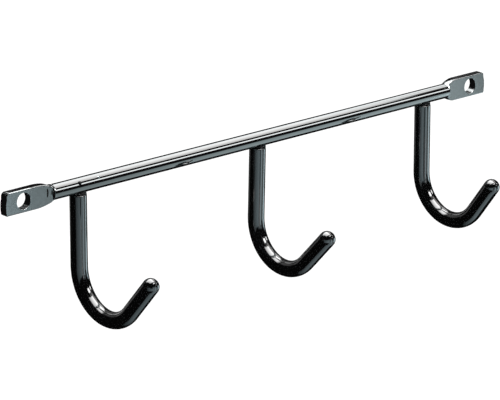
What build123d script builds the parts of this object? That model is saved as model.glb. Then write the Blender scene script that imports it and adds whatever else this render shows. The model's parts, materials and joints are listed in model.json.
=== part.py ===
from build123d import *
from math import radians, tan
import os

# Wall hook rack: a round steel bar with both ends pressed flat and drilled,
# and a row of bent rod hooks welded under it, each in a black plastic coat.
# Millimetres. X runs along the bar, -Y points out of the wall, +Z is up.
# The origin is on the bar's axis, midway between the two screw holes.

# Bar
bar_diameter = 10.0
bar_length = 408.0

# Flattened ends
lug_length = 34.5
lug_thickness = 5.8
lug_width = 14.6
lug_edge_bulge = 0.9
lug_end_bulge = 1.6
lug_end_tilt = 4.0
lug_corner_radius = 2.4
lug_waist_width = 12.4
lug_waist_length = 11.0
neck_length = 1.2

# Screw holes
screw_hole_inset = 13.5
screw_hole_diameter = 10.4
screw_hole_edge_break = 0.25

# Hooks, from left to right as seen from the front
outer_hook_inset = 56.5
hook_row_shift = 1.0
hook_rod_diameter = 8.0
hook_bend_radius = 27.7
hook_leg_drop = 51.2
hook_tip_lengths = {"left": 28.8, "middle": 26.8, "right": 25.0}
hook_bend_angles = {"left": 138.7, "middle": 136.8, "right": 142.9}
hook_leans = {"left": 0.0, "middle": 1.5, "right": 0.0}

# Plastic coat
coat_wall = 1.4
coat_top_gap = 0.4
coat_top_rounding = 1.0

# Weld bead
weld_overhang = 1.1
weld_height = 3.2

# Worked out from the sizes above
bar_radius = bar_diameter / 2
rod_radius = hook_rod_diameter / 2
coat_radius = rod_radius + coat_wall
lug_start = bar_length / 2 - lug_length
neck_start = lug_start - neck_length
screw_hole_place = bar_length / 2 - screw_hole_inset
outer_hook_place = bar_length / 2 - outer_hook_inset
coat_top = -(bar_radius + coat_top_gap)
from_base = (Align.CENTER, Align.CENTER, Align.MIN)
hook_plane = Plane(origin=(0, 0, 0), x_dir=(0, -1, 0), z_dir=(-1, 0, 0))
hook_places = {
    "left": hook_row_shift - outer_hook_place,
    "middle": hook_row_shift,
    "right": hook_row_shift + outer_hook_place,
}


def section_plane(x):
    """Plane across the bar at x, with the wall's direction as its x and up as its y."""
    return Plane(origin=(x, 0, 0), x_dir=(0, 1, 0), z_dir=(1, 0, 0))


def flat_section(x, width, thickness, bulge):
    """Cross-section of a flattened bar: two flat sides and two bulging edges."""
    side = thickness / 2
    corner = width / 2 - bulge
    outline = [
        Line((-side, -corner), (-side, corner)),
        ThreePointArc((-side, corner), (0, width / 2), (side, corner)),
        Line((side, corner), (side, -corner)),
        ThreePointArc((side, -corner), (0, -width / 2), (-side, -corner)),
    ]
    return section_plane(x) * make_face(outline)


def round_section(x):
    """Cross-section of the round bar, cut into four arcs that match a flat section's sides."""
    place = bar_radius / 2**0.5
    outline = [
        ThreePointArc((-place, -place), (-bar_radius, 0), (-place, place)),
        ThreePointArc((-place, place), (0, bar_radius), (place, place)),
        ThreePointArc((place, place), (bar_radius, 0), (place, -place)),
        ThreePointArc((place, -place), (0, -bar_radius), (-place, -place)),
    ]
    return section_plane(x) * make_face(outline)


def lug_outline():
    """Front outline of the right end: straight sides, round corners and a convex, slightly slanting end."""
    end = bar_length / 2
    half = lug_width / 2
    slant = half * tan(radians(lug_end_tilt))
    upper = end - lug_end_bulge - slant
    lower = end - lug_end_bulge + slant
    outline = [
        Line((neck_start, half), (upper, half)),
        ThreePointArc((upper, half), (end, 0), (lower, -half)),
        Line((lower, -half), (neck_start, -half)),
        Line((neck_start, -half), (neck_start, half)),
    ]
    face = make_face(outline)
    end_corners = [corner for corner in face.vertices() if corner.X > lug_start]
    return fillet(end_corners, lug_corner_radius)


def flattened_end():
    """Right end of the bar: the neck, the flat lug and its screw hole."""
    sections = [
        round_section(neck_start),
        flat_section(lug_start, lug_waist_width, lug_thickness, lug_edge_bulge),
        flat_section(lug_start + lug_waist_length, lug_width, lug_thickness, lug_edge_bulge),
        flat_section(bar_length / 2, lug_width, lug_thickness, lug_edge_bulge),
    ]
    pressed = loft(sections, ruled=True)
    front_view = Plane(origin=(0, 0, 0), x_dir=(1, 0, 0), z_dir=(0, -1, 0))
    trimmed = pressed & extrude(front_view * lug_outline(), amount=bar_diameter, both=True)
    hole = Cylinder(screw_hole_diameter / 2, bar_diameter, rotation=(90, 0, 0))
    drilled = trimmed - Pos(screw_hole_place, 0, 0) * hole
    hole_wall = drilled.faces().filter_by(GeomType.CYLINDER).sort_by_distance((screw_hole_place, 0, 0))[0]
    hole_rims = hole_wall.edges().filter_by(GeomType.CIRCLE)
    return chamfer(hole_rims, screw_hole_edge_break)


def bar_shaft():
    """Round length of the bar between the two necks."""
    return Cylinder(bar_radius, 2 * neck_start, rotation=(0, 90, 0))


def hook_shape(radius, top, tip_length, bend_angle):
    """Round J shape in the hook's own frame: a leg, one bend and a straight tip with a half-round end."""
    leg = Line((0, top), (0, -hook_leg_drop))
    bend = JernArc(leg @ 1, leg % 1, hook_bend_radius, bend_angle)
    tip = Line(bend @ 1, bend @ 1 + tip_length * (bend % 1))
    path = hook_plane * Wire([leg, bend, tip])
    ring = Plane(origin=path @ 0, z_dir=path % 0) * Circle(radius)
    dome = Plane(origin=path @ 1, z_dir=path % 1) * Sphere(radius, arc_size1=0, align=from_base)
    return sweep(ring, path) + dome


def hook_pieces(side):
    """Rod, coat and weld bead of one hook, moved to its place under the bar."""
    tip_length = hook_tip_lengths[side]
    bend_angle = hook_bend_angles[side]
    rod = hook_shape(rod_radius, 0, tip_length, bend_angle)
    skin = hook_shape(coat_radius, coat_top, tip_length, bend_angle)
    top_face = skin.faces().sort_by(Axis.Z)[-1]
    coat = fillet(top_face.edges(), coat_top_rounding) - rod
    bead = Cone(rod_radius + weld_overhang, rod_radius, weld_height, align=from_base)
    weld = Pos(0, 0, coat_top) * bead - rod
    to_place = Pos(hook_places[side], 0, 0) * Rot(0, hook_leans[side], 0)
    shaft = bar_shaft()
    placed_rod = to_place * rod - shaft
    placed_weld = to_place * weld - shaft
    return {"hook_rod": placed_rod, "hook_coat": to_place * coat, "weld_bead": placed_weld}


right_end = flattened_end()
left_end = mirror(right_end, about=Plane.YZ)
nodes = {"mounting_bar": bar_shaft() + right_end + left_end}
for side in hook_places:
    pieces = hook_pieces(side)
    nodes.update({f"{piece}_{side}": shape for piece, shape in pieces.items()})

os.makedirs("parts", exist_ok=True)
for name, shape in nodes.items():
    export_step(shape, f"parts/{name}.step")
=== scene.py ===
# %% [markdown]
# # A wall hook rack
# The rack is one round steel bar, pressed flat and drilled at both ends, with three
# black hooks welded under it. The CAD model holds the true sizes, so it is loaded
# first as a fixed frame. Everything later is built in metres around it, which means
# that a piece never has to be fitted by eye.

# %% Load the frame
import json
import math

import bpy
import bmesh
from mathutils import Matrix, Vector, noise


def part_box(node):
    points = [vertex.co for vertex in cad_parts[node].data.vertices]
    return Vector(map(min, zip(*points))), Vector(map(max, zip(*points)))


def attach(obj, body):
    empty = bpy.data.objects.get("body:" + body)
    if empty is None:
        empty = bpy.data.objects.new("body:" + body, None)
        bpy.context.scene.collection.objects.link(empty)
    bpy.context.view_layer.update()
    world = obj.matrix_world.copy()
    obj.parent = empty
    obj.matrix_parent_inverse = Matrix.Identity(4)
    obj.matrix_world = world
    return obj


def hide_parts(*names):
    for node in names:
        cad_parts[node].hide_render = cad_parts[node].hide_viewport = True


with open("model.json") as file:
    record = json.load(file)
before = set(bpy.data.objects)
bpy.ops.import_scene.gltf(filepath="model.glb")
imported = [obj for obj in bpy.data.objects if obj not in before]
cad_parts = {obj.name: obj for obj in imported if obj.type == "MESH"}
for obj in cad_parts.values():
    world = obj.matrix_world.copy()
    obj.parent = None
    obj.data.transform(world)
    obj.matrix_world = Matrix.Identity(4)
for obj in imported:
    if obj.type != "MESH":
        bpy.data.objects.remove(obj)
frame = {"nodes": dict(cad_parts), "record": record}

mm = 0.001
scene = bpy.context.scene
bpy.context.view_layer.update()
mounts = {mount["name"]: mount for mount in frame["record"]["mounts"]}
print("CAD nodes:", ", ".join(sorted(frame["nodes"])))

# %% [markdown]
# ## The camera
# A long lens from the left and a little above shows the rack as it is seen in the
# picture. A camera could be dragged into place by hand, but then nobody could repeat
# it. Here the viewing direction is given as two angles, and the camera is pushed back
# along the line on which the top of the middle hook is seen at a known pixel.

# %% Camera
picture_width, picture_height = 500, 400
view_azimuth = math.radians(-42.0)
view_elevation = math.radians(17.659)
focal_pixels = 3344.5
middle_hook_pixel = (257.73, 139.01)
middle_hook_distance = 2.1272

# Rounding never pushes a coat past the CAD box, because it is a hair slimmer.
rounding_room = 0.001 * mm
coat_radius = (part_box("hook_coat_left")[1].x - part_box("hook_coat_left")[0].x) / 2 - rounding_room
middle_hook_top = Vector((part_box("hook_coat_middle")[1].x - coat_radius, 0, 0))

backward = Vector((
    math.sin(view_azimuth) * math.cos(view_elevation),
    -math.cos(view_azimuth) * math.cos(view_elevation),
    math.sin(view_elevation),
))
rightward = Vector((0, 0, 1)).cross(backward).normalized()
upward = backward.cross(rightward)
turned = Matrix((rightward, upward, backward)).transposed()
sight = Vector((
    (middle_hook_pixel[0] - picture_width / 2) / focal_pixels,
    (picture_height / 2 - middle_hook_pixel[1]) / focal_pixels,
    -1.0,
)).normalized() * middle_hook_distance

lens = bpy.data.cameras.new("camera")
lens.sensor_fit = "HORIZONTAL"
lens.sensor_width = 36.0
lens.lens = focal_pixels * lens.sensor_width / picture_width
camera = bpy.data.objects.new("camera", lens)
scene.collection.objects.link(camera)
camera.matrix_world = Matrix.Translation(middle_hook_top - turned @ sight) @ turned.to_4x4()
scene.camera = camera
scene.view_settings.view_transform = "Standard"
print("camera at", [round(value, 3) for value in camera.location], "lens", round(lens.lens, 1), "mm")

# %% [markdown]
# ## A skin over rings
# Nearly every piece here is long and round, so each one can be described by rings of
# points that follow one another along its length. One helper lays faces between the
# rings. It is more work than adding a cylinder, but the rings can bulge, flatten and
# tilt wherever the real metal does. Two more helpers turn modifiers into plain mesh
# and cut one shape with another.

# %% Shape helpers
def skin(name, rings, joined=False):
    """Mesh through rings of equally many points, with flat ends or with the last ring joined to the first."""
    count = len(rings[0])
    points = [tuple(point) for ring in rings for point in ring]
    faces = []
    for row in range(len(rings) if joined else len(rings) - 1):
        low = row * count
        high = (row + 1) % len(rings) * count
        for k in range(count):
            after = (k + 1) % count
            faces.append((low + k, low + after, high + after, high + k))
    if not joined:
        faces.append(tuple(reversed(range(count))))
        faces.append(tuple(range(len(points) - count, len(points))))
    mesh = bpy.data.meshes.new(name)
    mesh.from_pydata(points, [], faces)
    shape = bmesh.new()
    shape.from_mesh(mesh)
    bmesh.ops.recalc_face_normals(shape, faces=shape.faces)
    shape.to_mesh(mesh)
    shape.free()
    mesh.shade_smooth()
    piece = bpy.data.objects.new(name, mesh)
    scene.collection.objects.link(piece)
    return piece


def settle(piece):
    """Turns a piece's modifiers into plain mesh."""
    depsgraph = bpy.context.evaluated_depsgraph_get()
    shaped = bpy.data.meshes.new_from_object(piece.evaluated_get(depsgraph))
    rough = piece.data
    piece.modifiers.clear()
    piece.data = shaped
    bpy.data.meshes.remove(rough)


def carve(piece, tool, operation):
    """Cuts a piece with a closed tool and puts the tool away."""
    cut = piece.modifiers.new(tool.name, "BOOLEAN")
    cut.operation = operation
    cut.solver = "EXACT"
    cut.object = tool
    settle(piece)
    bpy.data.objects.remove(tool)


print("shape helpers ready")

# %% [markdown]
# ## The pressed bar
# On the real rack the bar is plain round stock, and a press squeezes each end into a
# flat lug. Squeezed metal has to go somewhere, so the lug grows wider as it gets
# thinner, and its edges stay rounded. A flat plate joined to a cylinder would show a
# seam. Instead, every point of the round section slides to its place on the flat
# section, quickly through the thickness and more slowly across the width.

# %% Sections of the bar
bar_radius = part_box("mounting_bar")[1].y
bar_half_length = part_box("mounting_bar")[1].x
lug_half_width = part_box("mounting_bar")[1].z
lug_half_thickness = -mounts["washer_seat_right"]["pos_m"][1]
lug_edge_round, lug_edge_degrees, lug_crown = 0.55 * mm, 86, 0.1 * mm

# The ring's four quarters are the front, the upper edge, the back and the lower edge.
quarter_steps = (12, 24, 12, 24)
ring_angles = []
for quarter, steps in enumerate(quarter_steps):
    ring_angles += [90 * quarter - 45 + 90 * k / steps for k in range(steps)]


def edge_point(share):
    """Place on the lug's upper edge, from its front corner over a slight crown to its back corner."""
    flat = lug_half_thickness - lug_edge_round
    base = lug_half_width - lug_crown - lug_edge_round
    across = max(min(3 * share - 1.5, 0.5), -0.5)
    way, thirds = (-1, 3 * share) if share < 0.5 else (1, 3 - 3 * share)
    turn = math.radians(lug_edge_degrees * min(thirds, 1))
    y = way * lug_edge_round * math.cos(turn) + 2 * flat * across
    z = base + lug_edge_round * math.sin(turn) + lug_crown * (1 - 4 * across * across)
    return y, z


def pressed_point(angle):
    """Place on the lug's section of a point at this angle, in degrees from the front over the top."""
    straight = lug_half_width - lug_crown - lug_edge_round
    quarter, along = divmod(angle + 45, 90)
    share = along / 90
    if quarter == 0:
        return -lug_half_thickness, (2 * share - 1) * straight
    if quarter == 1:
        return edge_point(share)
    if quarter == 2:
        return lug_half_thickness, (1 - 2 * share) * straight
    y, z = edge_point(share)
    return -y, -z


print("lug section:", round(2 * lug_half_width / mm, 1), "x", round(2 * lug_half_thickness / mm, 1), "mm")

# %% Press marks
press_start = {"left": 167.9 * mm, "right": 169.7 * mm}
press_run = 0.85 * mm
neck_start = {"left": 167.0 * mm, "right": 168.9 * mm}
neck_reach = {
    ("left", "top"): 13.5 * mm,
    ("left", "bottom"): 13.5 * mm,
    ("right", "top"): 8.5 * mm,
    ("right", "bottom"): 6.0 * mm,
}
spread_power = 1.8
shoulder_drop, shoulder_run, shoulder_fade = 0.9 * mm, 0.6 * mm, 5.0 * mm
shoulder_soft = 0.2


def ramp(share, soft=0.1):
    """Straight slope from 0 to 1 with softened corners."""
    share = min(max(share, 0.0), 1.0)
    if share < soft:
        return share * share / (2 * soft * (1 - soft))
    if share > 1 - soft:
        return 1 - (1 - share) ** 2 / (2 * soft * (1 - soft))
    return (share - soft / 2) / (1 - soft)


def widen(share):
    """Quick start and slow finish, as metal spreads beside a press tool."""
    share = min(max(share, 0.0), 1.0)
    return 1 - (1 - share) ** spread_power


def shoulder(x):
    """How far the top of the left neck is pinched in, just past the edge of the press tool."""
    past = -x - press_start["left"]
    pinched = ramp(past / shoulder_run, shoulder_soft)
    return shoulder_drop * pinched * (1 - widen((past - shoulder_run) / shoulder_fade))


def bar_point(x, angle):
    """Point on the bar's skin at a place along it and an angle round it."""
    turn = math.radians(angle)
    flat_y, flat_z = pressed_point(angle)
    side = "left" if x < 0 else "right"
    half = "top" if flat_z > 0 else "bottom"
    squeezed = ramp((abs(x) - press_start[side]) / press_run)
    spread = widen((abs(x) - neck_start[side]) / neck_reach[side, half])
    y = (1 - squeezed) * -bar_radius * math.cos(turn) + squeezed * flat_y
    z = (1 - spread) * bar_radius * math.sin(turn) + spread * flat_z
    if half == "top":
        z -= shoulder(x) * math.sin(turn)
    return Vector((x, y, z))


for side, start in press_start.items():
    print(side, "end pressed from", round(start / mm, 1), "mm outwards")

# %% Bar blank
shaft_end, shaft_steps = 166.9 * mm, 80
shaft_stops = [-shaft_end + 2 * shaft_end * k / shaft_steps for k in range(shaft_steps + 1)]

# Each stretch of an end has its start, the step between its rings and their number.
end_stretches = [(167.1 * mm, 0.2 * mm, 4), (167.85 * mm, 0.02 * mm, 140), (170.7 * mm, 0.5 * mm, 25)]
end_stops = [start + step * k for start, step, count in end_stretches for k in range(count)]
end_stops.append(bar_half_length + 3 * mm)

stops = [-stop for stop in reversed(end_stops)] + shaft_stops + end_stops
bar = skin("pressed_bar", [[bar_point(x, angle) for angle in ring_angles] for x in stops])
print("bar blank:", len(bar.data.vertices), "points")

# %% [markdown]
# ## Trimming and drilling
# After pressing, the ends are cropped to a gently bowed end that slants a little, and
# a hole is drilled through each lug. Cropping and drilling are cuts, so Boolean cuts
# are the natural way to make them. The drill is turned with a flare at both faces,
# which leaves the soft rim that a deburred and plated hole has. A bevel then takes
# the sharpness off the cropped rims.

# %% Cropping
end_bow, end_room = 1.7 * mm, 0.01 * mm
end_slants = {"left": 0.9 * mm, "right": 0.51 * mm}
end_shares = (0.9, 0.75, 0.55, 0.3)
corner_rounds = {
    ("left", 1): 4.6 * mm,
    ("left", -1): 1.6 * mm,
    ("right", 1): 3.0 * mm,
    ("right", -1): 3.0 * mm,
}
corner_degrees, corner_steps, corner_lead = 60, 8, 0.87
crop_half_width, crop_half_depth = lug_half_width + 0.3 * mm, 20 * mm


def end_at(side, z):
    """Where the bar ends on this side at this height."""
    share = z / lug_half_width
    bowed = bar_half_length - end_bow * share * share - end_slants[side] * share
    return min(bowed, bar_half_length - end_room)


def cropped_end(side):
    """Outline of one end, drawn as a right end from its upper corner down to its lower one."""
    outline = []
    for way in (1, -1):
        corner_round = corner_rounds[side, way]
        turn_in = crop_half_width - corner_round
        lead = end_at(side, way * turn_in) - corner_lead * corner_round
        half = []
        for k in range(corner_steps + 1):
            angle = math.radians(90 - corner_degrees * k / corner_steps)
            z = way * (turn_in + corner_round * math.sin(angle))
            half.append((lead + corner_round * math.cos(angle), z))
        for share in end_shares:
            z = way * turn_in * share
            half.append((end_at(side, z), z))
        outline += half if way > 0 else reversed(half)
    return outline


crop_outline = cropped_end("right") + [(-x, z) for x, z in reversed(cropped_end("left"))]
crop_sides = (-crop_half_depth, crop_half_depth)
carve(bar, skin("crop", [[Vector((x, y, z)) for x, z in crop_outline] for y in crop_sides]), "INTERSECT")
print("cropped to", [round(value / mm, 2) for value in bar.dimensions], "mm")

# %% Drilling
hole_place = mounts["screw_hole_right"]["pos_m"][0]
hole_radius = mounts["screw_hole_right"]["dims"]["r_mm"] * mm
rim_round = 0.35 * mm
flare_degrees, flare_steps, flare_run = 74, 5, 0.5 * mm
drill_sides = 96


def drill_profile():
    """Distance from the middle plane and radius along half of the drill, flared where it leaves the lug."""
    profile = [(0.0, hole_radius)]
    start = lug_half_thickness - rim_round
    for k in range(flare_steps + 1):
        angle = math.radians(flare_degrees * k / flare_steps)
        radius = hole_radius + rim_round * (1 - math.cos(angle))
        profile.append((start + rim_round * math.sin(angle), radius))
    depth, radius = profile[-1]
    profile.append((depth + flare_run, radius + flare_run * math.tan(math.radians(flare_degrees))))
    return profile


half_profile = drill_profile()
whole_profile = [(-depth, radius) for depth, radius in reversed(half_profile[1:])] + half_profile
turns = [2 * math.pi * k / drill_sides for k in range(drill_sides)]
for side, place in (("left", -hole_place), ("right", hole_place)):
    rings = []
    for depth, radius in whole_profile:
        rings.append([Vector((place + radius * math.cos(t), depth, radius * math.sin(t))) for t in turns])
    carve(bar, skin("drill_" + side, rings), "DIFFERENCE")
print("holes", round(2 * hole_radius / mm, 1), "mm across at", round(hole_place / mm, 1), "mm")

# %% Softened rims
rims = bar.modifiers.new("rims", "BEVEL")
rims.width = 0.4 * mm
rims.segments = 4
rims.limit_method = "ANGLE"
rims.angle_limit = math.radians(50)
settle(bar)
print("bar:", len(bar.data.polygons), "faces")

# %% [markdown]
# ## The nick of the press tool
# A corner of the press tool has bitten a short slit into the front of the left lug. A
# dark line of paint would look flat as soon as the light moves, so the slit is cut as
# a real notch. Its cutter is a row of narrow wedges that get shallower to both ends.
# The faces inside are remembered, because they are painted nearly black: partly the
# scale that forms where plating hardly reaches, partly painted shade for the slit's dark.

# %% Tool nick
nick_place, nick_half_width, nick_depth = -172.3 * mm, 0.6 * mm, 1.4 * mm
nick_low, nick_high = -1.7 * mm, 4.3 * mm
nick_bow, nick_least_size, nick_half_steps = 0.35 * mm, 0.05, 6
front_face, cutter_room = -lug_half_thickness, 0.5 * mm
rings = []
for k in range(2 * nick_half_steps + 1):
    share = k / nick_half_steps - 1
    size = max(1 - share ** 4, nick_least_size)
    bowed = nick_place - nick_bow * share * share
    height = (nick_low + nick_high) / 2 + share * (nick_high - nick_low) / 2
    rings.append([
        Vector((bowed - size * nick_half_width, front_face, height)),
        Vector((bowed, front_face + size * nick_depth, height)),
        Vector((bowed + size * nick_half_width, front_face, height)),
        Vector((bowed, front_face - cutter_room, height)),
    ])
carve(bar, skin("nick", rings), "DIFFERENCE")
bar.data.shade_smooth()
print("nick", round(nick_depth / mm, 1), "mm deep")

# %% Faces in the nick
least_sink, nick_margin = 0.02 * mm, 0.2 * mm


def in_nick(spot):
    """Whether a spot on the bar's skin lies inside the slit."""
    beside = abs(spot.x - nick_place) < 2 * nick_half_width
    sunk = least_sink < spot.y - front_face < nick_depth
    return beside and sunk and nick_low - nick_margin < spot.z < nick_high + nick_margin


nick_faces = [face.index for face in bar.data.polygons if in_nick(face.center)]
bar.data.set_sharp_from_angle(angle=math.radians(40))
bar.modifiers.new("even shading", "WEIGHTED_NORMAL").keep_sharp = True
settle(bar)
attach(bar, "root")
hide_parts("mounting_bar")
print("nick:", len(nick_faces), "faces")

# %% [markdown]
# ## Bright plated steel
# The bar is plated, so nearly all of its look is reflection. A plain mirror would
# seem unreal: real stock keeps faint draw lines along its length, and the pressed
# lugs are duller and slightly mottled. Noise stretched along the bar gives the lines,
# and a second noise, switched on past the neck, gives the lugs their satin. The narrow
# upper and lower edges of the lugs get painted shade, a colour darkened by up to half,
# and the direction that each point faces tells the shader where they are.

# %% Node helpers
def feed(tree, node, inputs):
    """Gives a node's inputs their plain values or links."""
    for name, value in inputs.items():
        if isinstance(value, bpy.types.NodeSocket):
            tree.links.new(value, node.inputs[name])
        else:
            node.inputs[name].default_value = value


def add(tree, kind, inputs=None, **settings):
    """Adds a shader node with these inputs and settings."""
    made = tree.nodes.new(kind)
    for name, value in settings.items():
        setattr(made, name, value)
    feed(tree, made, inputs or {})
    return made


def finish_named(name):
    """New material with its node tree, its main shader and the place of each point on its object."""
    material = bpy.data.materials.new(name)
    material.use_nodes = True
    tree = material.node_tree
    place = add(tree, "ShaderNodeTexCoord").outputs["Object"]
    return material, tree, tree.nodes["Principled BSDF"], place


def noise_at(tree, place, scale, detail, roughness=0.5):
    """Noise from 0 to 1, with this many waves to the metre."""
    inputs = {"Vector": place, "Scale": scale, "Detail": detail, "Roughness": roughness}
    return add(tree, "ShaderNodeTexNoise", inputs).outputs["Fac"]


def spread_of(tree, value, low, high, start=0.0, stop=1.0):
    """Maps a value from start..stop onto low..high."""
    inputs = {"Value": value, "From Min": start, "From Max": stop, "To Min": low, "To Max": high}
    return add(tree, "ShaderNodeMapRange", inputs).outputs["Result"]


def worked_out(tree, operation, *values):
    """Result of a plain calculation with one or two values."""
    return add(tree, "ShaderNodeMath", dict(enumerate(values)), operation=operation).outputs["Value"]


print("node helpers ready")

# %% Colour and relief helpers
def shades_of(tree, value, dark, light, start=0.0, stop=1.0):
    """Colour that goes from dark to light while a value goes from start to stop."""
    shades = add(tree, "ShaderNodeValToRGB", {"Fac": value})
    for element, place, colour in zip(shades.color_ramp.elements, (start, stop), (dark, light)):
        element.position = place
        element.color = (*colour, 1)
    return shades.outputs["Color"]


def relief_of(tree, height, strength, depth):
    """Surface direction on a fine relief of this depth."""
    inputs = {"Height": height, "Strength": strength, "Distance": depth}
    return add(tree, "ShaderNodeBump", inputs).outputs["Normal"]


print("colour and relief helpers ready")

# %% Bright steel
bright_steel, tree, shader, place = finish_named("bright_steel")
along = add(tree, "ShaderNodeSeparateXYZ", {"Vector": place}).outputs["X"]
distance = worked_out(tree, "ABSOLUTE", along)
lug_start, lug_full = press_start["left"] + press_run / 2, press_start["right"] + press_run
on_lug = spread_of(tree, distance, 0.0, 1.0, start=lug_start, stop=lug_full)

# Painted shade: past the neck, the colour of the lugs' edges that face up or down is darkened by up to half.
edge_tilt, full_edge_tilt = 0.8, 0.98
edge_shade_start, edge_shade_full, painted_edge_shade = 178 * mm, 183 * mm, 0.5
facing = add(tree, "ShaderNodeTexCoord").outputs["Normal"]
tilt = add(tree, "ShaderNodeSeparateXYZ", {"Vector": facing}).outputs["Z"]
steepness = worked_out(tree, "ABSOLUTE", tilt)
shaded_edge_mask = spread_of(tree, steepness, 0.0, 1.0, start=edge_tilt, stop=full_edge_tilt)
edge_shade_past_neck = spread_of(tree, distance, 0.0, painted_edge_shade, start=edge_shade_start, stop=edge_shade_full)
left_unshaded = worked_out(tree, "SUBTRACT", 1.0, worked_out(tree, "MULTIPLY", shaded_edge_mask, edge_shade_past_neck))

line_stretch = (0.008, 1, 1)
drawn = add(tree, "ShaderNodeMapping", {"Vector": place, "Scale": line_stretch}).outputs["Vector"]
lines = noise_at(tree, drawn, scale=1500.0, detail=2.0)
cloud = noise_at(tree, place, scale=90.0, detail=4.0)
grain = noise_at(tree, place, scale=900.0, detail=3.0)

tint = shades_of(tree, grain, dark=(0.83, 0.87, 0.875), light=(0.90, 0.935, 0.94))
# The tint is scaled down by the painted shade on the lug edges.
colour = add(tree, "ShaderNodeVectorMath", {"Vector": tint, "Scale": left_unshaded}, operation="SCALE")
shaft_rough = spread_of(tree, cloud, 0.02, 0.06)
lug_rough = spread_of(tree, grain, 0.07, 0.15)
roughness = add(tree, "ShaderNodeMix", {"Factor": on_lug, "A": shaft_rough, "B": lug_rough})
height = add(tree, "ShaderNodeMix", {"Factor": on_lug, "A": lines, "B": grain})
feed(tree, shader, {
    "Metallic": 1.0,
    "Base Color": colour.outputs["Vector"],
    "Roughness": roughness.outputs["Result"],
    "Normal": relief_of(tree, height.outputs["Result"], strength=0.25, depth=0.01 * mm),
})
bar.data.materials.clear()
bar.data.materials.append(bright_steel)
print("bright steel:", len(tree.nodes), "nodes")

# %% Scale and painted shade in the nick
nick_scale_and_shade, tree, shader, place = finish_named("nick_scale_and_shade")
# Painted shade: the slit's faces are coloured nearly black and dull, on top of their scale.
crust = noise_at(tree, place, scale=1500.0, detail=4.0)
feed(tree, shader, {
    "Base Color": shades_of(tree, crust, dark=(0.006, 0.006, 0.006), light=(0.030, 0.028, 0.026)),
    "Roughness": spread_of(tree, crust, 0.7, 0.95),
    "Specular IOR Level": 0.1,
})
bar.data.materials.append(nick_scale_and_shade)
for index in nick_faces:
    bar.data.polygons[index].material_index = 1
print("nick scale on", len(nick_faces), "faces")

# %% [markdown]
# ## The coated hooks
# Each hook is a steel rod bent to a J and dipped in black plastic. The coat is a thin
# skin with a rounded lip under the bar and a half-round end on the tip. A swept curve
# with a bevel would give the tube, but not the lip and the dome. Rings that follow the
# bend and then shrink over the dome give all three, and a second set of rings, one
# wall smaller, lines the inside.

# %% Hook sizes
rod_radius = (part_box("hook_rod_left")[1].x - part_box("hook_rod_left")[0].x) / 2
coat_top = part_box("hook_coat_left")[1].z
bend_radius = -mounts["hook_seat_left"]["pos_m"][1]
leg_drop = -mounts["hook_seat_left"]["pos_m"][2] - (bend_radius - coat_radius)
hook_bends = {"left": 138.7, "middle": 136.8, "right": 142.9}
hook_tips = {"left": 28.8 * mm, "middle": 26.8 * mm, "right": 25.0 * mm}
hook_leans = {"left": 0.0, "middle": 1.5, "right": 0.0}
hook_places = {side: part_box("hook_coat_" + side)[1].x - coat_radius for side in hook_bends}
for side, place in hook_places.items():
    print("hook", side, "at", round(place / mm, 1), "mm, bent", hook_bends[side], "degrees")

# %% Rings of a hook
ring_count = 56
leg_steps, tip_steps, bend_ring_degrees = 15, 8, 3

# A dome stops just short of its pole, so that its last ring can be closed by a flat face.
dome_degrees, dome_steps = 88, 18


def hook_ring(forward, height, turn, radius):
    """Ring across the hook where it has turned this far."""
    inward = Vector((0, -math.cos(turn), math.sin(turn)))
    centre = Vector((0, -forward, height))
    ring = []
    for k in range(ring_count):
        angle = 2 * math.pi * k / ring_count
        ring.append(centre + radius * (math.cos(angle) * inward + math.sin(angle) * Vector((1, 0, 0))))
    return ring


def hook_rings(top, radius, bend, tip_length):
    """Rings from the top of the leg, round the bend and out over the domed tip."""
    rings = []
    for k in range(leg_steps):
        rings.append(hook_ring(0, top + (-leg_drop - top) * k / leg_steps, 0, radius))
    bend_steps = math.ceil(bend / bend_ring_degrees)
    for k in range(bend_steps):
        turn = math.radians(bend * k / bend_steps)
        forward = bend_radius * (1 - math.cos(turn))
        rings.append(hook_ring(forward, -leg_drop - bend_radius * math.sin(turn), turn, radius))
    turn = math.radians(bend)
    places = [(tip_length * k / tip_steps, radius) for k in range(tip_steps)]
    for k in range(dome_steps + 1):
        arc = math.radians(dome_degrees * k / dome_steps)
        places.append((tip_length + radius * math.sin(arc), radius * math.cos(arc)))
    for out, size in places:
        forward = bend_radius * (1 - math.cos(turn)) + out * math.sin(turn)
        height = -leg_drop - bend_radius * math.sin(turn) - out * math.cos(turn)
        rings.append(hook_ring(forward, height, turn, size))
    return rings


print("ring of", ring_count, "points")

# %% Coats
lip_round, lip_steps = 0.6 * mm, 8
lining_drop, lip_inset = 0.2 * mm, 0.15 * mm


def coat_rings(side):
    """Closed skin of one coat: up the inside, over the lip, then down the outside to the tip."""
    bend, tip = hook_bends[side], hook_tips[side]
    lining = hook_rings(coat_top - lining_drop, rod_radius, bend, tip)
    lip = [hook_ring(0, coat_top, 0, rod_radius + lip_inset)]
    for k in range(lip_steps):
        arc = math.radians(90 - 90 * k / lip_steps)
        size = coat_radius - lip_round + lip_round * math.cos(arc)
        lip.append(hook_ring(0, coat_top - lip_round * (1 - math.sin(arc)), 0, size))
    outside = hook_rings(coat_top - lip_round, coat_radius, bend, tip)
    return list(reversed(lining)) + lip + outside


coats = {}
for side, place in hook_places.items():
    coat = skin("coat_" + side, coat_rings(side))
    lean = Matrix.Rotation(math.radians(hook_leans[side]), 4, "Y")
    coat.data.transform(Matrix.Translation((place, 0, 0)) @ lean)
    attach(coat, "root")
    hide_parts("hook_coat_" + side)
    coats[side] = coat
    print("coat", side, [round(value / mm, 1) for value in coat.dimensions], "mm")

# %% [markdown]
# ## Glossy black plastic
# Dip coating leaves a deep black with a wet shine, slightly wavy like orange peel,
# with a little dust and fine scuffs. Black shows only through its reflections, so the
# colour stays almost even, and the roughness and the relief carry the detail. A
# clear coat layer on the shader gives the wet shine on top.

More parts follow.
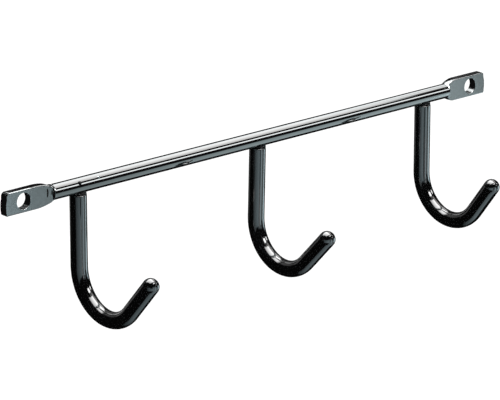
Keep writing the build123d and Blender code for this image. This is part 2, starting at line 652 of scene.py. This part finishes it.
# %% Black coat
black_coat, tree, shader, place = finish_named("black_coat")
peel = noise_at(tree, place, scale=300.0, detail=1.0)
scuff = noise_at(tree, place, scale=130.0, detail=6.0, roughness=0.7)
clean, dusty = (0.0010, 0.0011, 0.0012), (0.0045, 0.005, 0.0055)
relief = relief_of(tree, peel, strength=0.12, depth=0.04 * mm)
feed(tree, shader, {
    "Base Color": shades_of(tree, scuff, clean, dusty, start=0.45, stop=0.80),
    "Roughness": spread_of(tree, scuff, 0.10, 0.24),
    "Normal": relief,
    "Coat Normal": relief,
    "Specular IOR Level": 0.2,
    "Coat Weight": 1.0,
    "Coat Roughness": 0.09,
    "Coat IOR": 3.4,
})
for coat in coats.values():
    coat.data.materials.append(black_coat)
print("black coat:", len(tree.nodes), "nodes")

# %% [markdown]
# ## The welds
# A bead of weld metal runs round the top of each rod and fills the saddle between the
# rod and the round underside of the bar. A torus would be too regular and would not
# follow the saddle. Each step round the rod therefore gets its own small closed
# section, from the coat's lip up into the bar, with ripples and lumps from noise.

# %% Section of a weld bead
bead_low, bead_inside = coat_top + 0.02 * mm, rod_radius - 0.05 * mm
bead_width, bead_belly, bead_belly_steps = 1.15 * mm, 0.30 * mm, 7
ripple_height, ripple_count = 0.10 * mm, 11
lump_height, lump_scale = 0.22 * mm, 2.2

# The bead's skin sinks a little into the bar's skin, and its heights have these limits.
outer_inset, outer_sink, inner_sink = 0.15 * mm, 0.12 * mm, 0.25 * mm
outer_limit, inner_limit, least_step = -0.84 * bar_radius, -0.57 * bar_radius, 0.02 * mm
widest_reach = 0.97 * bar_radius


def under_bar(radius, angle):
    """Height of the bar's underside at this radius and angle round a rod."""
    reach = min(abs(radius * math.sin(angle)), widest_reach)
    return -math.sqrt(bar_radius ** 2 - reach ** 2)


def bead_section(angle, seed):
    """Closed section of the bead at one angle round the rod, as (radius, height) pairs."""
    ripple = ripple_height * abs(math.sin(ripple_count * angle + seed))
    spot = Vector((lump_scale * math.cos(angle), lump_scale * math.sin(angle), seed))
    swell = rod_radius + bead_width + ripple + lump_height * noise.noise(spot)
    top_outer = min(under_bar(swell - outer_inset, angle) + outer_sink, outer_limit)
    top_inner = min(under_bar(rod_radius, angle) + inner_sink, inner_limit)
    section = [(bead_inside, bead_low)]
    for k in range(bead_belly_steps + 1):
        share = k / bead_belly_steps
        belly = bead_belly * math.sin(math.pi * share) - bead_belly
        section.append((swell + belly, bead_low + (top_outer - bead_low) * share))
    section.append((bead_inside, max(top_inner, top_outer + least_step)))
    return section


print("weld section of", len(bead_section(0.0, 0.0)), "points")

# %% Weld beads
bead_steps = 96
first_seed, seed_step = 1.3, 3.7
welds = {}
for number, (side, place) in enumerate(hook_places.items()):
    rings = []
    for k in range(bead_steps):
        angle = 2 * math.pi * k / bead_steps
        section = bead_section(angle, seed_step * number + first_seed)
        rings.append([Vector((place + r * math.cos(angle), -r * math.sin(angle), h)) for r, h in section])
    weld = skin("weld_" + side, rings, joined=True)
    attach(weld, "root")
    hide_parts("weld_bead_" + side)
    welds[side] = weld
    print("weld", side, len(weld.data.polygons), "faces")

# %% [markdown]
# ## Weld metal and bare rod
# Weld metal cools dark and scaly, with bright grains where the scale has broken away.
# A fine noise, cut off sharply, makes those grains, and the same noise drives the
# relief so that they stand up. The rods are hidden in their coats, but their CAD
# solids stay in the model, so they get a drawn steel finish of their own.

# %% Weld steel
weld_steel, tree, shader, place = finish_named("weld_steel")
scale = noise_at(tree, place, scale=1100.0, detail=5.0, roughness=0.7)
scaly, bare = (0.010, 0.010, 0.011), (0.50, 0.49, 0.50)
feed(tree, shader, {
    "Base Color": shades_of(tree, scale, scaly, bare, start=0.56, stop=0.70),
    "Roughness": spread_of(tree, scale, 0.60, 0.28),
    "Normal": relief_of(tree, scale, strength=0.6, depth=0.15 * mm),
    "Metallic": 0.9,
})
for weld in welds.values():
    weld.data.materials.append(weld_steel)
print("weld steel:", len(tree.nodes), "nodes")

# %% Rod steel
rod_steel, tree, shader, place = finish_named("rod_steel")
mill = noise_at(tree, place, scale=600.0, detail=4.0)
feed(tree, shader, {
    "Base Color": shades_of(tree, mill, dark=(0.42, 0.43, 0.44), light=(0.62, 0.63, 0.64)),
    "Roughness": spread_of(tree, mill, 0.28, 0.45),
    "Normal": relief_of(tree, mill, strength=0.3, depth=0.03 * mm),
    "Metallic": 1.0,
})
for side in hook_places:
    frame["nodes"]["hook_rod_" + side].material_slots[0].material = rod_steel
print("rod steel:", len(tree.nodes), "nodes")

# %% [markdown]
# ## Weld spatter
# Welding throws small drops of metal, and two of them froze on the bar near the left
# hook: a scaly one, and a smaller one that took the plating. They could be bumps in
# the finish, but then they would vanish from the outline. Each is a small mound of
# rings sunk into the bar's skin, a little uneven because drops never set round.

# %% Shape of a drop
drop_sink, drop_height, drop_stretch, drop_wobble = 0.35, 0.95, 1.2, 0.16
drop_rings, drop_points, drop_seed_step = 8, 28, 5.0


def drop_shape(x, angle, size, seed):
    """Rings of a drop at a place along the bar and an angle round it, from its base to its top."""
    turn = math.radians(angle)
    outward = Vector((0, -math.cos(turn), math.sin(turn)))
    sideways = Vector((0, math.sin(turn), math.cos(turn)))
    rings = []
    for k in range(drop_rings + 1):
        arc = math.radians(dome_degrees * k / drop_rings)
        lift = bar_radius - drop_sink * size + drop_height * size * math.sin(arc)
        ring = []
        for j in range(drop_points):
            around = 2 * math.pi * j / drop_points
            bump = noise.noise(Vector((math.cos(around), math.sin(around), seed)))
            flat = Vector((drop_stretch * math.cos(around), 0, 0)) + math.sin(around) * sideways
            reach = (1 + drop_wobble * bump) * size * math.cos(arc)
            ring.append(Vector((x, 0, 0)) + lift * outward + reach * flat)
        rings.append(ring)
    return rings


print("drop of", drop_rings + 1, "rings")

# %% Spatter drops
drop_finishes = {"weld_steel": weld_steel, "bright_steel": bright_steel}
spatter_drops = [(-148.4 * mm, 34.0, 1.3 * mm, "weld_steel"), (-133.4 * mm, 43.0, 0.9 * mm, "bright_steel")]
for number, (x, angle, size, slot) in enumerate(spatter_drops):
    drop = skin("spatter_drop_" + str(number + 1), drop_shape(x, angle, size, drop_seed_step * number))
    drop.data.materials.append(drop_finishes[slot])
    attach(drop, "root")
    print("drop", number + 1, round(2 * size / mm, 1), "mm wide,", slot)

# %% [markdown]
# ## Floor, white surround and soft light
# The rack hangs on a wall, so the floor is well below it. A pale floor, a white
# world and one wide soft sun make an even studio. Camera and mirror rays see the
# world at full white, while it lights surfaces a little less, so that the sun and
# the world together show a colour about as it is written.

# %% Floor
floor_height, floor_thickness, floor_half = -1.75, 0.05, 14
floor_corners = [(-floor_half, -floor_half), (floor_half, -floor_half)]
floor_corners += [(floor_half, floor_half), (-floor_half, floor_half)]
floor_levels = (floor_height - floor_thickness, floor_height)
floor = skin("floor", [[Vector((x, y, z)) for x, y in floor_corners] for z in floor_levels])
floor.data.shade_flat()
pale_floor, tree, shader, place = finish_named("pale_floor")
drift = noise_at(tree, place, scale=3.0, detail=3.0)
feed(tree, shader, {
    "Base Color": shades_of(tree, drift, dark=(0.93, 0.93, 0.93), light=(0.95, 0.95, 0.95)),
    "Roughness": 0.9,
    "Specular IOR Level": 0.0,
})
floor.data.materials.append(pale_floor)
print("floor at", floor_height, "m")

# %% World and sun
world = bpy.data.worlds.new("white_surround")
scene.world = world
world.use_nodes = True
tree = world.node_tree
path = add(tree, "ShaderNodeLightPath").outputs
mirrored = worked_out(tree, "MAXIMUM", path["Is Camera Ray"], path["Is Glossy Ray"])
seen = worked_out(tree, "MAXIMUM", mirrored, path["Is Transmission Ray"])
lighting_strength, seen_strength = 0.65, 1.0
strength = spread_of(tree, seen, lighting_strength, seen_strength)
feed(tree, tree.nodes["Background"], {"Color": (1, 1, 1, 1), "Strength": strength})

lamp = bpy.data.lights.new("soft_sun", "SUN")
lamp.energy = 2.1
lamp.angle = math.radians(40)
sun = bpy.data.objects.new("soft_sun", lamp)
sun.rotation_euler = (math.radians(38), 0, math.radians(25))
sun.visible_glossy = False
scene.collection.objects.link(sun)
print("sun of strength", round(lamp.energy, 2))

# %% [markdown]
# ## Cards for the reflections
# Polished metal looks like what stands around it. A photographer hangs black flags,
# grey cards and a softbox around such a part, and lets the white room show through
# the gaps. Most cards are long strips round the bar's axis, given by the angle that
# they cover, from the front over the top, and by their reach along the bar. Others
# stand upright round the hooks. Cards are seen in reflections only, so they neither
# show nor cast shadows.

# %% Card helper
card_glow = bpy.data.materials.new("card_glow")
card_glow.use_nodes = True
tree = card_glow.node_tree
tree.nodes.clear()
own_glow = add(tree, "ShaderNodeAttribute", attribute_name="glow")
light = add(tree, "ShaderNodeEmission", {"Color": own_glow.outputs["Color"]})
add(tree, "ShaderNodeOutputMaterial", {"Surface": light.outputs["Emission"]})


def lay_card(name, points, glows, columns):
    """Sheet through rows of points, with a glow for each point, seen in reflections only."""
    rows = len(points) // columns
    faces = []
    for row in range(rows - 1):
        for k in range(columns - 1):
            corner = row * columns + k
            faces.append((corner, corner + 1, corner + columns + 1, corner + columns))
    mesh = bpy.data.meshes.new(name)
    mesh.from_pydata([tuple(point) for point in points], [], faces)
    glow = mesh.attributes.new("glow", "FLOAT_COLOR", "POINT")
    for k, value in enumerate(glows):
        glow.data[k].color = (*value, 1)
    card = bpy.data.objects.new(name, mesh)
    scene.collection.objects.link(card)
    card.data.materials.append(card_glow)
    card.visible_camera = False
    card.visible_diffuse = False
    card.visible_transmission = False
    card.visible_volume_scatter = False
    card.visible_shadow = False


print("card material ready")

# %% Strips, panels and flat flags
white, teal, deep_teal = (1, 1, 1), (0.86, 1.0, 1.03), (0.80, 1.0, 1.07)
dark_glow = 0.004
black = [dark_glow] * 4
strip_rows, strip_columns = 12, 13
panel_rows, panel_columns = 8, 25


def mix(low, high, share):
    """Value part of the way from low to high."""
    return low + (high - low) * share


def bent_card(name, rows, columns, place, glow, tint):
    """Card through place(up, along), with a brightness for each of its four corners."""
    points, glows = [], []
    for row in range(rows):
        for k in range(columns):
            up, along = row / (rows - 1), k / (columns - 1)
            level = mix(mix(glow[0], glow[1], along), mix(glow[2], glow[3], along), up)
            points.append(place(up, along))
            glows.append([level * part for part in tint])
    lay_card(name, points, glows, columns)


def strip(name, turn, reach, glow, radius=1.3, tint=white):
    """Card round the bar's axis. glow has the corners at its first angle, then those at its second."""
    def place(up, along):
        angle = math.radians(mix(*turn, up))
        return Vector((mix(*reach, along), -radius * math.cos(angle), radius * math.sin(angle)))

    bent_card(name, strip_rows, strip_columns, place, glow, tint)


def panel(name, heading, height, glow, radius=1.1, tint=white):
    """Upright card round the hooks. heading is its compass range, 0 at the front and 90 at the right."""
    def place(up, along):
        angle = math.radians(mix(*heading, along))
        return Vector((radius * math.sin(angle), -radius * math.cos(angle), mix(*height, up)))

    bent_card(name, panel_rows, panel_columns, place, glow, tint)


def flat_flag(name, corners):
    """Flat black card through four corners, given row by row."""
    lay_card(name, corners, [(dark_glow, dark_glow, dark_glow)] * 4, 2)


print("card shapes ready")

# %% [markdown]
# ## The bar's surroundings
# Seen from the camera, the bar mirrors one stretch of the room, well to its right.
# There a grey card lies low, a flag covers the front, a white scrim makes the thin
# bright line, a second flag hides above it, and a scrim under the ceiling gives the
# broad highlight. The far cards darken the bar towards its right end. Behind and
# below, flags draw the dark outlines, and a few dim cards keep the back from going
# black.

# %% Cards round the bar
room_end = 4.0
view_start, view_stop = 0.70, 1.46
bar_view = (view_start, view_stop)
strip("front_grey", (-76, -17), bar_view, (0.17, 0.458, 0.135, 0.31), tint=teal)
strip("front_flag", (-17, 21.5), (view_start, room_end), black)
strip("line_scrim", (21.5, 37), bar_view, [1.0] * 4)
strip("line_flag", (21.5, 40), (view_stop, room_end), black)
strip("upper_flag", (37, 59), bar_view, black)
strip("ceiling_scrim", (59, 110), (view_start, 1.5), (0.52, 0.52, 1.02, 1.02), tint=(1.04, 1.0, 0.99))
strip("far_lead", (57, 82), (1.24, 1.29), (0.5, 0.06, 0.74, 0.5), radius=1.25)
strip("far_flag", (57, 66), (1.29, 1.5), black, radius=1.25)
strip("far_fade", (66, 82), (1.29, 1.5), (dark_glow, dark_glow, 0.5, 0.5), radius=1.25)
strip("far_top_fade", (95, 112), (1.15, 1.5), (0.88, 0.6, 0.9, 0.05), radius=1.25)
strip("ceiling_flag_left", (54, 135), (-room_end, -0.75), black)
strip("ceiling_flag_right", (54, 135), (1.5, room_end), black)
strip("wall_flag", (135, 205), (-room_end, 1.3), black, radius=1.4)
strip("wall_grey", (135, 205), (1.3, room_end), (0.05, 0.08, 0.05, 0.08), radius=1.4)
strip("back_grey", (140, 174), (-0.55, 0.75), (0.16, 0.16, 0.09, 0.09), radius=1.35)
strip("back_window_right", (176, 200), (-0.5, -0.25), [0.20] * 4, radius=1.35)
strip("back_window_left", (176, 200), (0.25, 0.5), [0.20] * 4, radius=1.35)
strip("back_left_window", (184, 216), (0.8, 1.8), [0.55] * 4, radius=1.35)
strip("under_flag_left", (-155, -76), (-room_end, -0.45), black, radius=1.4)
strip("under_flag_right", (-155, -76), (0.5, room_end), black, radius=1.4)
print("cards round the bar laid")

# %% [markdown]
# ## The hooks' surroundings
# The legs are upright cylinders and mirror what stands round them, so three upright
# panels give them their soft bands. The bends and tips look up, to a bright line and
# a softbox. Two small flags hang close to the rack, where distance tells the pieces
# apart: one darkens the bends and leaves the bar above them alone, and the other
# darkens the corner beside the left neck.

# %% Cards for the hooks
panel("left_panel", (-78, -8), (-0.34, -0.01), (0.10, 0.42, 0.08, 0.34), radius=0.5, tint=deep_teal)
panel("front_panel", (9, 27), (-0.75, -0.03), (0.40, 0.75, 0.40, 0.75), tint=deep_teal)
panel("far_right_panel", (58, 80), (-0.62, -0.03), (1.2, 1.5, 1.2, 1.5), tint=deep_teal)
strip("hook_flag_left", (-17, 40), (-room_end, -0.6), black)
strip("front_window", (-20, 10), (-0.6, view_start), (0.08, 0.16, 0.10, 0.20), tint=deep_teal)
strip("hook_flag", (10, 40), (-0.6, view_start), black)
strip("hook_line", (40, 54), (0.02, view_start), (3.0, 4.0, 3.0, 4.0))
strip("hook_line_right", (40, 54), (view_stop, 2.6), (4.0, 2.0, 4.0, 2.0))
strip("hook_line_flag", (40, 68), (-room_end, 0.02), black)
strip("hook_upper_flag", (54, 66), (0.02, view_start), (0.05, 0.25, 0.05, 0.25))
strip("softbox", (67, 130), (-0.62, 0.58), (1.1, 3.6, 1.8, 4.0), radius=1.2)
strip("low_grey", (-76, -20), (-0.3, view_start), (0.20, 0.42, 0.20, 0.38), tint=deep_teal)
strip("low_flag_left", (-76, -17), (-room_end, -0.3), black)
strip("low_flag_right", (-76, -17), (view_stop, room_end), black)
strip("floor_card", (-104, -76), (-0.45, 0.5), (0.05, 0.08, 0.22, 0.45), radius=1.35, tint=deep_teal)
strip("floor_flag", (-155, -104), (-0.45, 0.5), black, radius=1.4)
print("cards for the hooks laid")

# %% Flat flags
near_flag_y, neck_flag_y, end_half = -150 * mm, -100 * mm, 1.5
flat_flag("near_flag", [Vector((x, near_flag_y, z)) for z in (0.0, 0.055) for x in (-0.12, 0.36)])
flat_flag("neck_flag", [Vector((x, neck_flag_y, z)) for z in (-0.05, 0.02) for x in (-0.178, -0.156)])
for name, x in (("left_end_flag", -room_end), ("right_end_flag", room_end)):
    flat_flag(name, [Vector((x, y, z)) for y in (-end_half, end_half) for z in (-end_half, end_half)])
print("flat flags hung")
